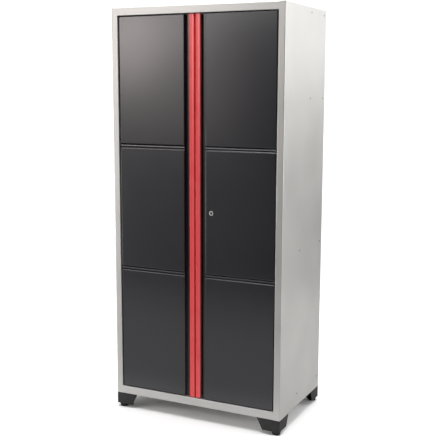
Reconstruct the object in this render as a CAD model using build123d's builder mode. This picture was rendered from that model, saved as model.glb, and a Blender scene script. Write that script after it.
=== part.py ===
"""Tall two-door tool cabinet: folded steel body on corner legs, panelled doors with full-height pulls.

Millimetres. The origin is on the floor under the middle of the cabinet, the doors face -Y and +Z is up.
"""

import os
from math import cos, radians, sin

from build123d import *

os.makedirs("parts", exist_ok=True)

# Cabinet as a whole
cabinet_width = 914.4
cabinet_depth = 558.8
body_height = 1962.0
leg_height = 58.0
leg_lift = 19.0
overrun = 5.0
seam = 0.2

# Folded body sheet
body_gauge = 1.2
stile_width = 33.6
top_rail_height = 36.5
bottom_rail_height = 40.5
corner_bend = 4.0
fold_bend = 3.0
jamb_depth = 30.0
rear_flange_width = 25.0
side_flange_height = 45.0
head_return_depth = 64.0
head_lip_height = 12.0
floor_return_depth = 130.0
rail_lap = 40.0

# Rivets through the sides, and the slotted strips and shelves that they hold
top_rivet_drop = 24.0
floor_rivet_rise = 24.0
rear_column_inset = 33.0
upper_column_setback = 345.0
lower_column_setback = 231.0
rivet_radius = 2.4
rivet_head_radius = 4.5
rivet_head_height = 0.8
rivet_head_taper = 45.0
rivet_tail_radius = 3.6
rivet_tail_height = 1.0
fastener_clearance = 0.1
strip_width = 20.0
strip_gauge = 1.5
strip_end_margin = 10.0
slot_width = 4.0
slot_height = 14.0
slot_pitch = 50.0
slot_fit = 0.3
shelf_flange_height = 26.0
upper_shelf_drop = 445.0
middle_shelf_rise = 766.5
upper_shelf_setback = 262.0
middle_shelf_setback = 92.0
adjustable_setback = 20.0
shelf_rear_gap = 9.0
upper_clip_slot_share = 0.5
lower_clip_slot_share = 0.55
clip_gauge = 1.5
clip_width = 16.0
clip_height = 24.0
clip_ledge = 17.0
clip_tab_reach = 1.0
shelf_side_gap = 1.0

# Back sheet with pressed stiffening beads and wall anchor holes
bead_count = 3
bead_spacing = 225.0
bead_width = 44.0
bead_top_width = 26.0
bead_depth = 5.0
bead_end_margin = 170.0
anchor_spacing = 406.4
anchor_drop = 70.0
anchor_hole_radius = 4.0
back_screw_count = 5
back_screw_end_margin = 150.0
back_screw_radius = 2.0
back_screw_head_radius = 4.0
back_screw_head_height = 2.0

# Corner legs and levelling feet
leg_top_width = 119.6
leg_bottom_width = 90.0
leg_wall = 3.0
leg_flange_end = 26.0
leg_foot_end = 14.0
stem_side_inset = 25.6
stem_front_inset = 24.0
stem_radius = 5.0
stem_length = 44.0
stem_clearance = 0.3
boss_radius = 9.0
boss_height = 9.0
pad_radius = 20.3
pad_gap = 0.3
pad_edge = 2.0
pad_socket_depth = 10.0
leg_bolt_far_inset = 76.0
leg_bolt_near_inset = 30.0
leg_bolt_radius = 3.0
leg_bolt_head_radius = 5.8
leg_bolt_head_height = 4.0
leg_nut_height = 5.0

# Doors
door_recess = 3.0
door_side_gap = 5.0
door_top_gap = 4.0
door_bottom_gap = 4.0
door_thickness = 30.0
door_gauge = 1.0
door_panel_count = 3
groove_height = 17.0
lower_groove_lift = 3.5
panel_return = 10.0
panel_edge_return = 3.0
panel_bend = 3.5
panel_roll = 8.0
rib_depth = 2.5
rib_lean = 0.9
rib_foot = 1.5
rib_slope_height = 3.0
rib_height = 4.5
rib_rise = 8.0
lap_tuck = 14.0
lap_gap = 0.6
lap_bend = 1.4
butt_gap = 0.3
channel_depth = 20.0
pan_bend = 2.0

# Pull strips
meeting_gap = 7.0
pull_lip_width = 25.5
pull_wall = 4.0
pull_hook = 6.5
pull_hook_wall = 3.5
pull_dish = 1.2
pull_edge = 3.0
pull_inner_edge = 1.0
pull_foot_width = 18.0
pull_foot_wall = 3.0
finger_mouth = 27.5
pull_screw_count = 6
pull_screw_end_margin = 120.0
pull_screw_radius = 2.0
pull_screw_head_radius = 3.8
pull_screw_head_height = 2.0
pull_screw_reach = 8.0

# Door pivots
pivot_setin = 16.0
pivot_setback = 12.0
pivot_radius = 4.0
pivot_reach = 15.0
pivot_head_radius = 8.0
pivot_head_height = 2.4
collar_radius = 7.0
bush_radius = 7.0
bush_length = 13.0
bush_flange_radius = 9.5
bush_flange_height = 1.5
pivot_clearance = 0.1
thrust_gap = 0.2

# Lock, its cam and the locking bars
lock_offset = 89.0
lock_barrel_radius = 9.5
lock_flange_radius = 11.5
lock_flange_height = 2.0
lock_flange_edge = 0.6
lock_nut_radius = 14.0
lock_nut_height = 3.5
plug_radius = 6.0
plug_clearance = 0.3
key_slot_width = 1.8
key_slot_height = 8.0
key_slot_depth = 12.0
barrel_tail = 0.4
cam_gap = 0.6
cam_gauge = 3.0
cam_radius = 15.0
cam_pin_radius = 3.0
cam_pin_circle = 10.0
cam_start_angle = -45.0
cam_screw_radius = 3.5
cam_screw_height = 2.0
bar_gap = 1.0
bar_width = 12.0
bar_gauge = 3.0
bar_offset = 20.0
bar_tip = 0.5
bar_tip_taper = 2.5
bar_hole_clearance = 1.2
fork_clearance = 0.6
fork_prong = 6.0
fork_mouth = 4.5
guide_height = 16.0
guide_wall = 5.0
guide_cover = 3.0
guide_clearance = 0.3
guide_end_inset = 60.0
guide_lock_inset = 90.0
bolt_length = 190.0
bolt_offset = 89.0
bolt_guide_spacing = 110.0
knob_radius = 5.0
knob_height = 11.0
knob_edge = 1.0

# Magnetic catches
catch_offset = 220.0
catch_width = 44.0
catch_height = 15.0
catch_depth = 16.0
catch_gap = 0.5
magnet_width = 32.0
magnet_height = 9.0
magnet_depth = 4.0
magnet_proud = 0.3
strike_width = 40.0
strike_height = 18.0
strike_gauge = 1.5

# Levels and planes that several pieces share
half_width = cabinet_width / 2
half_depth = cabinet_depth / 2
front = -half_depth
rear = half_depth
body_bottom = leg_lift + leg_height
body_top = body_bottom + body_height
floor_level = body_bottom + bottom_rail_height
head_level = body_top - top_rail_height
jamb_x = half_width - stile_width
rail_x = jamb_x + fold_bend
wall_x = half_width - body_gauge
pan_x = wall_x - seam
strip_x = pan_x - body_gauge - strip_gauge
clip_x = strip_x - clip_gauge
frame_inner = front + body_gauge + seam
pan_front = front + corner_bend + seam
plate_x = half_width - corner_bend - seam
back_x = half_width - fold_bend - seam
back_outer = rear - body_gauge - seam
back_inner = back_outer - body_gauge
pan_rear = back_inner - seam
shelf_rear = back_inner - shelf_rear_gap

door_face = front + door_recess
door_back = door_face + door_thickness
door_bottom = floor_level + door_bottom_gap
door_top = head_level - door_top_gap
door_height = door_top - door_bottom
hinge_x = jamb_x - door_side_gap
pull_x = meeting_gap / 2
lip_x = pull_x + pull_lip_width
channel_x = lip_x + finger_mouth
pan_edge_x = pull_x + pull_wall + seam
pivot_x = hinge_x - pivot_setin
pivot_y = door_face + pivot_setback
middle_height = (door_bottom + door_top) / 2
nut_back = door_back + lock_nut_height
cam_front = nut_back + barrel_tail + cam_gap
cam_back = cam_front + cam_gauge
bar_front = cam_back + bar_gap
bar_back = bar_front + bar_gauge
bar_y = (bar_front + bar_back) / 2
guide_back = bar_back + guide_clearance + guide_cover
pin_shift = cam_pin_circle * cos(radians(cam_start_angle))
pin_drop = cam_pin_circle * sin(radians(cam_start_angle))

hands = {"left": -1, "right": 1}
ends = {"front": -1, "rear": 1}
upper_shelf_underside = body_top - upper_shelf_drop
middle_shelf_top = floor_level + middle_shelf_rise
top_rivet_z = body_top - top_rivet_drop
upper_rivet_z = upper_shelf_underside + shelf_flange_height / 2
middle_rivet_z = middle_shelf_top - shelf_flange_height / 2
floor_rivet_z = floor_level + floor_rivet_rise
rear_column_y = rear - rear_column_inset
upper_columns = (front + upper_column_setback, rear_column_y)
lower_columns = (front + lower_column_setback, rear_column_y)
rivet_places = [(y, z) for z in (top_rivet_z, upper_rivet_z) for y in upper_columns]
rivet_places += [(y, z) for z in (middle_rivet_z, floor_rivet_z) for y in lower_columns]
back_screw_span = body_height - 2 * back_screw_end_margin
back_screw_step = back_screw_span / (back_screw_count - 1)
back_screw_foot = body_bottom + back_screw_end_margin
back_screw_levels = [back_screw_foot + i * back_screw_step for i in range(back_screw_count)]
back_screw_x = half_width - rear_flange_width / 2
pull_screw_step = (door_height - 2 * pull_screw_end_margin) / (pull_screw_count - 1)
pull_screw_foot = door_bottom + pull_screw_end_margin
pull_screw_levels = [pull_screw_foot + i * pull_screw_step for i in range(pull_screw_count)]
pull_screw_y = door_face + (channel_depth + door_thickness) / 2
bar_places = ((lock_offset + bar_offset, bar_y), (-bolt_offset, bar_y))
floor_bar_places = ((lock_offset - bar_offset, bar_y), (-bolt_offset, bar_y))
bar_hole_width = bar_width + 2 * bar_hole_clearance
bar_hole_depth = bar_gauge + 2 * bar_hole_clearance


def save(piece, node):
    """Label a finished piece and write it under its node name."""
    piece.part.label = node
    export_step(piece.part, f"parts/{node}.step")


def across(y):
    """Upright plane across the cabinet; a negative extrusion from it runs to the rear."""
    return Plane.XZ.offset(-y)


def handed(values, hand):
    """A right-hand list of plan points, or its mirror image in the order that keeps the same inside."""
    return list(values) if hand > 0 else [(-x, y) for x, y in reversed(values)]


def folded(points, bends, gauge):
    """Section of a folded sheet: its outer path with rounded bends, thickened to the left of the path."""
    outer = [Vector(*point) for point in points]
    runs = [(end - start).normalized() for start, end in zip(outer, outer[1:])]
    lefts = [Vector(-run.Y, run.X) for run in runs]
    corners = list(zip(runs, runs[1:]))
    inner = [outer[0] + lefts[0] * gauge]
    for corner, before, after in zip(outer[1:-1], lefts, lefts[1:]):
        inner.append(corner + (before + after) * (gauge / (1 + before.dot(after))))
    inner.append(outer[-1] + lefts[-1] * gauge)
    outer_bends = bends if isinstance(bends, list) else [bends] * len(corners)
    inner_bends = [
        bend - gauge if before.cross(after).Z > 0 else bend + gauge
        for bend, (before, after) in zip(outer_bends, corners)
    ]
    with BuildSketch() as section:
        with BuildLine():
            FilletPolyline(*outer, radius=outer_bends)
            FilletPolyline(*inner, radius=inner_bends)
            Line(outer[0], inner[0])
            Line(outer[-1], inner[-1])
        make_face()
    return section.sketch


# Side panels: one sheet folded round the front corner into the stile and jamb, with a flange at the rear
side_path = [
    (jamb_x, front + jamb_depth),
    (jamb_x, front),
    (half_width, front),
    (half_width, rear),
    (half_width - rear_flange_width, rear),
]
side_bends = [fold_bend, corner_bend, fold_bend]
for name, hand in hands.items():
    with BuildPart() as side:
        with BuildSketch(Plane.XY.offset(body_bottom)):
            add(folded(handed(side_path, hand), side_bends[::hand], body_gauge))
        extrude(amount=body_height)
        for low, high in (
            (body_bottom - overrun, floor_level + seam),
            (head_level - seam, body_top + overrun),
        ):
            with BuildSketch(Plane.XY.offset(low)):
                with Locations((hand * (rail_x + seam - stile_width / 2), front + jamb_depth / 2)):
                    Rectangle(stile_width, jamb_depth + 2 * overrun)
            extrude(amount=high - low, mode=Mode.SUBTRACT)
        with BuildSketch(Plane.YZ.offset(hand * half_width)):
            with Locations(*rivet_places):
                Circle(rivet_radius + fastener_clearance)
        extrude(amount=overrun, both=True, mode=Mode.SUBTRACT)
        with BuildSketch(across(rear)):
            with Locations(*[(hand * back_screw_x, z) for z in back_screw_levels]):
                Circle(back_screw_radius + fastener_clearance)
        extrude(amount=overrun, both=True, mode=Mode.SUBTRACT)
    save(side, f"{name}_side")

# Top panel: a pan hung between the sides, its front folded down and back into the head rail
with BuildPart() as top_panel:
    with BuildSketch(across(pan_front)):
        flange_foot = body_top - side_flange_height
        crown = [(pan_x, flange_foot), (pan_x, body_top), (-pan_x, body_top), (-pan_x, flange_foot)]
        add(folded(crown, fold_bend, body_gauge))
    extrude(amount=pan_front - pan_rear)
    with BuildSketch(Plane.XY.offset(body_top)):
        with Locations((0, (frame_inner + front + rail_lap) / 2)):
            Rectangle(2 * plate_x, front + rail_lap - frame_inner)
    extrude(amount=-body_gauge)
    with BuildSketch(Plane.YZ):
        rail = [
            (front + rail_lap, body_top),
            (front, body_top),
            (front, head_level),
            (front + head_return_depth, head_level),
            (front + head_return_depth, head_level + head_lip_height),
        ]
        add(folded(rail, fold_bend, body_gauge))
    extrude(amount=rail_x, both=True)
    with BuildSketch(Plane.YZ):
        tail = [
            (pan_rear, body_top - rear_flange_width),
            (pan_rear, body_top),
            (pan_rear - rail_lap, body_top),
        ]
        add(folded(tail, fold_bend, body_gauge))
    extrude(amount=pan_x - fold_bend, both=True)
    with BuildSketch(Plane.YZ):
        with Locations(*[(y, top_rivet_z) for y in upper_columns]):
            Circle(rivet_radius + fastener_clearance)
    extrude(amount=half_width, both=True, mode=Mode.SUBTRACT)
    with BuildSketch(Plane.XY.offset(head_level)):
        with Locations((pivot_x, pivot_y), (-pivot_x, pivot_y)):
            Circle(pivot_radius + fastener_clearance)
        with Locations(*bar_places):
            Rectangle(bar_hole_width, bar_hole_depth)
    extrude(amount=overrun, both=True, mode=Mode.SUBTRACT)
save(top_panel, "top_panel")

# Leg bolts pass the floor panel and the legs at these places, two to a corner
bolt_places = {}
for end, depth_sign in ends.items():
    for name, hand in hands.items():
        corner = (hand * half_width, depth_sign * half_depth)
        bolt_places[f"{end}_{name}"] = [
            (corner[0] - hand * along, corner[1] - depth_sign * inward)
            for along, inward in (
                (leg_bolt_far_inset, leg_bolt_near_inset),
                (leg_bolt_near_inset, leg_bolt_far_inset),
            )
        ]
all_bolt_places = [place for places in bolt_places.values() for place in places]

# Floor panel: a pan with upturned sides, folded down into the bottom rails and back under the corners
with BuildPart() as floor_panel:
    with BuildSketch(across(pan_front)):
        plate_foot = floor_level - body_gauge
        flange_head = plate_foot + side_flange_height
        tray = [(-pan_x, flange_head), (-pan_x, plate_foot), (pan_x, plate_foot), (pan_x, flange_head)]
        add(folded(tray, fold_bend, body_gauge))
    extrude(amount=pan_front - pan_rear)
    with BuildSketch(Plane.YZ):
        rail = [
            (front + rail_lap, floor_level),
            (front, floor_level),
            (front, body_bottom),
            (front + floor_return_depth, body_bottom),
        ]
        add(folded(rail, fold_bend, body_gauge))
    extrude(amount=rail_x, both=True)
    with BuildSketch(Plane.YZ):
        rear_rail = [
            (pan_rear - floor_return_depth, body_bottom),
            (pan_rear, body_bottom),
            (pan_rear, floor_level),
            (pan_rear - rail_lap, floor_level),
        ]
        add(folded(rear_rail, fold_bend, body_gauge))
    extrude(amount=pan_x - fold_bend, both=True)
    with BuildSketch(Plane.XY.offset(body_bottom)):
        return_inner = front + floor_return_depth
        with Locations((0, (frame_inner + return_inner) / 2)):
            Rectangle(2 * plate_x, return_inner - frame_inner)
        with Locations((0, pan_rear - fold_bend - (floor_return_depth - fold_bend) / 2)):
            Rectangle(2 * plate_x, floor_return_depth - fold_bend)
    extrude(amount=body_gauge)
    with BuildSketch(Plane.YZ):
        with Locations(*[(y, floor_rivet_z) for y in lower_columns]):
            Circle(rivet_radius + fastener_clearance)
    extrude(amount=half_width, both=True, mode=Mode.SUBTRACT)
    with BuildSketch(Plane.XY.offset(floor_level)):
        with Locations((pivot_x, pivot_y), (-pivot_x, pivot_y)):
            Circle(pivot_radius + fastener_clearance)
        with Locations(*floor_bar_places):
            Rectangle(bar_hole_width, bar_hole_depth)
    extrude(amount=overrun, both=True, mode=Mode.SUBTRACT)
    with BuildSketch(Plane.XY.offset(body_bottom)):
        with Locations(*all_bolt_places):
            Circle(leg_bolt_radius + fastener_clearance)
    extrude(amount=overrun, both=True, mode=Mode.SUBTRACT)
save(floor_panel, "floor_panel")

# Back panel: a flat sheet against the side flanges, stiffened by pressed beads with tapered ends
bead_length = body_height - 2 * bead_end_margin
bead_slope = (bead_width - bead_top_width) / 2
with BuildPart() as back_panel:
    with BuildSketch(across(back_outer)):
        with Locations((0, body_bottom + body_height / 2)):
            Rectangle(2 * back_x, body_height)
    extrude(amount=body_gauge)
    for shift, mode in ((body_gauge, Mode.ADD), (0, Mode.SUBTRACT)):
        for i in range(bead_count):
            bead_x = (i - (bead_count - 1) / 2) * bead_spacing
            bead_centre = (bead_x, body_bottom + body_height / 2)
            with BuildSketch(across(back_outer - shift)):
                with Locations(bead_centre):
                    Rectangle(bead_width, bead_length)
            with BuildSketch(across(back_outer - shift - bead_depth)):
                with Locations(bead_centre):
                    Rectangle(bead_top_width, bead_length - 2 * bead_slope)
            loft(mode=mode)
    with BuildSketch(across(back_outer)):
        with Locations(*[(hand * anchor_spacing / 2, body_top - anchor_drop) for hand in hands.values()]):
            Circle(anchor_hole_radius)
        with Locations(*[(hand * back_screw_x, z) for hand in hands.values() for z in back_screw_levels]):
            Circle(back_screw_radius + fastener_clearance)
    extrude(amount=overrun, both=True, mode=Mode.SUBTRACT)
save(back_panel, "back_panel")

# Back screws: heads inside the cabinet, ends flush with the rear flanges
with BuildPart() as back_screws:
    screw_places = [(hand * back_screw_x, z) for hand in hands.values() for z in back_screw_levels]
    with BuildSketch(across(rear)):
        with Locations(*screw_places):
            Circle(back_screw_radius)
    extrude(amount=rear - back_inner)
    with BuildSketch(across(back_inner)):
        with Locations(*screw_places):
            Circle(back_screw_head_radius)
    extrude(amount=back_screw_head_height)
save(back_screws, "back_screws")

# Fixed shelves: riveted pans, the upper one with upturned sides and the middle one with downturned sides
with BuildPart() as upper_fixed_shelf:
    shelf_front = front + upper_shelf_setback
    plate_top = upper_shelf_underside + body_gauge
    with BuildSketch(across(shelf_front)):
        base = upper_shelf_underside
        head = base + shelf_flange_height
        tray = [(-pan_x, head), (-pan_x, base), (pan_x, base), (pan_x, head)]
        add(folded(tray, fold_bend, body_gauge))
    extrude(amount=shelf_front - shelf_rear)
    with BuildSketch(Plane.YZ):
        lip_foot = plate_top - shelf_flange_height
        lip = [(shelf_front + rail_lap, plate_top), (shelf_front, plate_top), (shelf_front, lip_foot)]
        add(folded(lip, fold_bend, body_gauge))
        lip = [(shelf_rear, lip_foot), (shelf_rear, plate_top), (shelf_rear - rail_lap, plate_top)]
        add(folded(lip, fold_bend, body_gauge))
    extrude(amount=pan_x - fold_bend, both=True)
    with BuildSketch(Plane.YZ):
        with Locations(*[(y, upper_rivet_z) for y in upper_columns]):
            Circle(rivet_radius + fastener_clearance)
    extrude(amount=half_width, both=True, mode=Mode.SUBTRACT)
save(upper_fixed_shelf, "upper_fixed_shelf")


def lipped_shelf(half_span, shelf_front, shelf_top):
    """Shelf pan with all four edges folded down."""
    with BuildPart() as shelf:
        with BuildSketch(across(shelf_front)):
            foot = shelf_top - shelf_flange_height
            crown = [(half_span, foot), (half_span, shelf_top), (-half_span, shelf_top), (-half_span, foot)]
            add(folded(crown, fold_bend, body_gauge))
        extrude(amount=shelf_front - shelf_rear)
        with BuildSketch(Plane.YZ):
            lip = [(shelf_front + rail_lap, shelf_top), (shelf_front, shelf_top), (shelf_front, foot)]
            add(folded(lip, fold_bend, body_gauge))
            lip = [(shelf_rear, foot), (shelf_rear, shelf_top), (shelf_rear - rail_lap, shelf_top)]
            add(folded(lip, fold_bend, body_gauge))
        extrude(amount=half_span - fold_bend, both=True)
    return shelf.part


with BuildPart() as middle_fixed_shelf:
    add(lipped_shelf(pan_x, front + middle_shelf_setback, middle_shelf_top))
    with BuildSketch(Plane.YZ):
        with Locations(*[(y, middle_rivet_z) for y in lower_columns]):
            Circle(rivet_radius + fastener_clearance)
    extrude(amount=half_width, both=True, mode=Mode.SUBTRACT)
save(middle_fixed_shelf, "middle_fixed_shelf")

# Slotted strips between the rivet rows, with the clips and the loose shelf that hang on them
strip_groups = {
    "upper": (upper_rivet_z, top_rivet_z, upper_columns, upper_clip_slot_share, upper_shelf_setback),
    "lower": (floor_rivet_z, middle_rivet_z, lower_columns, lower_clip_slot_share, middle_shelf_setback),
}
for name, (low, high, columns, clip_share, setback) in strip_groups.items():
    slot_count = int((high - low - slot_pitch) / slot_pitch)
    first_slot = (low + high - (slot_count - 1) * slot_pitch) / 2
    slot_levels = [first_slot + i * slot_pitch for i in range(slot_count)]
    with BuildPart() as strips:
        for hand in hands.values():
            with BuildSketch(Plane.YZ.offset(hand * strip_x)):
                with Locations(*[(y, (low + high) / 2) for y in columns]):
                    Rectangle(strip_width, high - low + 2 * strip_end_margin)
                with Locations(*[(y, z) for y in columns for z in slot_levels]):
                    Rectangle(slot_width, slot_height, mode=Mode.SUBTRACT)
                with Locations(*[(y, z) for y in columns for z in (low, high)]):
                    Circle(rivet_radius + fastener_clearance, mode=Mode.SUBTRACT)
            extrude(amount=hand * strip_gauge)
    save(strips, f"{name}_shelf_strips")

    clip_level = slot_levels[int(clip_share * slot_count)]
    ledge_level = clip_level - clip_height / 2
    with BuildPart() as clips:
        for hand in hands.values():
            for y in columns:
                with BuildSketch(across(y - clip_width / 2)):
                    bracket = [
                        (strip_x, ledge_level + clip_height),
                        (strip_x, ledge_level - clip_gauge),
                        (strip_x - clip_ledge, ledge_level - clip_gauge),
                    ]
                    add(folded(handed(bracket[::-1], hand), clip_gauge + seam, clip_gauge))
                extrude(amount=-clip_width)
            with BuildSketch(Plane.YZ.offset(hand * strip_x)):
                with Locations(*[(y, clip_level) for y in columns]):
                    Rectangle(slot_width - 2 * slot_fit, slot_height - 2 * slot_fit)
            extrude(amount=hand * (strip_gauge + clip_tab_reach))
    save(clips, f"{name}_shelf_clips")

    with BuildPart() as loose_shelf:
        shelf_front = front + setback + adjustable_setback
        add(lipped_shelf(clip_x - shelf_side_gap, shelf_front, ledge_level + shelf_flange_height))
    save(loose_shelf, f"{name}_adjustable_shelf")

# Side rivets: low domed heads outside, tails upset inside over the strip ends
with BuildPart() as side_rivets:
    for hand in hands.values():
        with BuildSketch(Plane.YZ.offset(hand * half_width)):
            with Locations(*rivet_places):
                Circle(rivet_head_radius)
        extrude(amount=hand * rivet_head_height, taper=rivet_head_taper)
        with BuildSketch(Plane.YZ.offset(hand * strip_x)):
            with Locations(*rivet_places):
                Circle(rivet_radius)
        extrude(amount=hand * (half_width - strip_x))
        with BuildSketch(Plane.YZ.offset(hand * strip_x)):
            with Locations(*rivet_places):
                Circle(rivet_tail_radius)
        extrude(amount=-hand * rivet_tail_height)
save(side_rivets, "side_rivets")

# Corner legs: two trapezoid walls in an L, a bolted top flange and a foot plate with the threaded boss
for end, depth_sign in ends.items():
    for name, hand in hands.items():
        corner_x = hand * half_width
        corner_y = depth_sign * half_depth
        with BuildPart() as leg:
            wall = [
                (0, body_bottom),
                (leg_top_width, body_bottom),
                (leg_bottom_width, leg_lift),
                (0, leg_lift),
            ]
            with BuildSketch(across(corner_y)):
                with BuildLine():
                    Polyline(*[(corner_x - hand * u, z) for u, z in wall], close=True)
                make_face()
            extrude(amount=depth_sign * leg_wall)
            with BuildSketch(Plane.YZ.offset(corner_x)):
                with BuildLine():
                    Polyline(*[(corner_y - depth_sign * v, z) for v, z in wall], close=True)
                make_face()
            extrude(amount=-hand * leg_wall)
            for level, reach, tip, lift in (
                (body_bottom, leg_top_width - leg_wall, leg_flange_end, -leg_wall),
                (leg_lift, leg_bottom_width, leg_foot_end, leg_wall),
            ):
                plate = [(0, 0), (reach, 0), (reach, tip), (tip, reach), (0, reach)]
                with BuildSketch(Plane.XY.offset(level)):
                    with BuildLine():
                        outline = [(corner_x - hand * u, corner_y - depth_sign * v) for u, v in plate]
                        Polyline(*outline, close=True)
                    make_face()
                extrude(amount=lift)
            stem_place = (corner_x - hand * stem_side_inset, corner_y - depth_sign * stem_front_inset)
            with BuildSketch(Plane.XY.offset(leg_lift)):
                with Locations(stem_place):
                    Circle(boss_radius)
            extrude(amount=leg_wall + boss_height)
            uprights = leg.edges().filter_by(Axis.Z)
            fillet(uprights.sort_by_distance((corner_x, corner_y, body_bottom))[0], corner_bend)
            with BuildSketch(Plane.XY.offset(leg_lift)):
                with Locations(stem_place):
                    Circle(stem_radius + stem_clearance)
            extrude(amount=leg_wall + boss_height + overrun, mode=Mode.SUBTRACT)
            with BuildSketch(Plane.XY.offset(body_bottom)):
                with Locations(*bolt_places[f"{end}_{name}"]):
                    Circle(leg_bolt_radius + fastener_clearance)
            extrude(amount=-leg_wall, mode=Mode.SUBTRACT)
        save(leg, f"{end}_{name}_leg")

        with BuildPart() as pad:
            pad_top = leg_lift - pad_gap
            with BuildSketch(Plane.XY):
                with Locations(stem_place):
                    Circle(pad_radius)
            extrude(amount=pad_top)
            fillet(pad.edges().group_by(Axis.Z)[0], pad_edge)
            fillet(pad.edges().group_by(Axis.Z)[-1], pad_edge)
            with BuildSketch(Plane.XY.offset(pad_top)):
                with Locations(stem_place):
                    Circle(stem_radius + fastener_clearance)
            extrude(amount=-pad_socket_depth, mode=Mode.SUBTRACT)
        save(pad, f"{end}_{name}_pad")

        with BuildPart() as stem:
            with BuildSketch(Plane.XY.offset(pad_top - pad_socket_depth)):
                with Locations(stem_place):
                    Circle(stem_radius)
            extrude(amount=stem_length)
            chamfer(stem.edges().group_by(Axis.Z)[-1], fastener_clearance + stem_clearance)
        save(stem, f"{end}_{name}_stem")

# Leg bolts and their nuts, two to a corner
with BuildPart() as leg_bolts:
    flange_under = body_bottom - leg_wall
    nut_seat = body_bottom + body_gauge
    with BuildSketch(Plane.XY.offset(flange_under)):
        with Locations(*all_bolt_places):
            RegularPolygon(leg_bolt_head_radius, side_count=6)
    extrude(amount=-leg_bolt_head_height)
    with BuildSketch(Plane.XY.offset(flange_under)):
        with Locations(*all_bolt_places):
            Circle(leg_bolt_radius)
    extrude(amount=leg_wall + body_gauge + leg_nut_height)
    with BuildSketch(Plane.XY.offset(nut_seat)):
        with Locations(*all_bolt_places):
            RegularPolygon(leg_bolt_head_radius, side_count=6)
    extrude(amount=leg_nut_height)
save(leg_bolts, "leg_bolts")

# Pivot pins fixed in the head rail and the floor; the lower ones have a collar that carries the door
with BuildPart() as pivot_pins:
    pivot_places = ((pivot_x, pivot_y), (-pivot_x, pivot_y))
    collar_top = door_bottom - bush_flange_height - thrust_gap
    for seat, outward, reach in (
        (head_level + body_gauge, 1, body_gauge + door_top_gap + pivot_reach),
        (floor_level - body_gauge, -1, body_gauge + door_bottom_gap + pivot_reach),
    ):
        with BuildSketch(Plane.XY.offset(seat)):
            with Locations(*pivot_places):
                Circle(pivot_head_radius)
        extrude(amount=outward * pivot_head_height)
        with BuildSketch(Plane.XY.offset(seat)):
            with Locations(*pivot_places):
                Circle(pivot_radius)
        extrude(amount=-outward * reach)
    with BuildSketch(Plane.XY.offset(floor_level)):
        with Locations(*pivot_places):
            Circle(collar_radius)
    extrude(amount=collar_top - floor_level)
save(pivot_pins, "pivot_pins")

# Magnetic catches under the head rail, each a housing with a magnet bar let into its front
catch_front = door_back + strike_gauge + catch_gap
catch_middle = head_level - catch_height / 2
with BuildPart() as magnetic_catches:
    with BuildSketch(across(catch_front)):
        with Locations((catch_offset, catch_middle), (-catch_offset, catch_middle)):
            Rectangle(catch_width, catch_height)
    extrude(amount=-catch_depth)
    with BuildSketch(across(catch_front)):
        with Locations((catch_offset, catch_middle), (-catch_offset, catch_middle)):
            Rectangle(magnet_width, magnet_height)
    extrude(amount=-magnet_depth, mode=Mode.SUBTRACT)
save(magnetic_catches, "magnetic_catches")

with BuildPart() as catch_magnets:
    with BuildSketch(across(catch_front - magnet_proud)):
        with Locations((catch_offset, catch_middle), (-catch_offset, catch_middle)):
            Rectangle(magnet_width - 2 * fastener_clearance, magnet_height - 2 * fastener_clearance)
    extrude(amount=-magnet_depth - magnet_proud)
save(catch_magnets, "catch_magnets")

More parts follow.
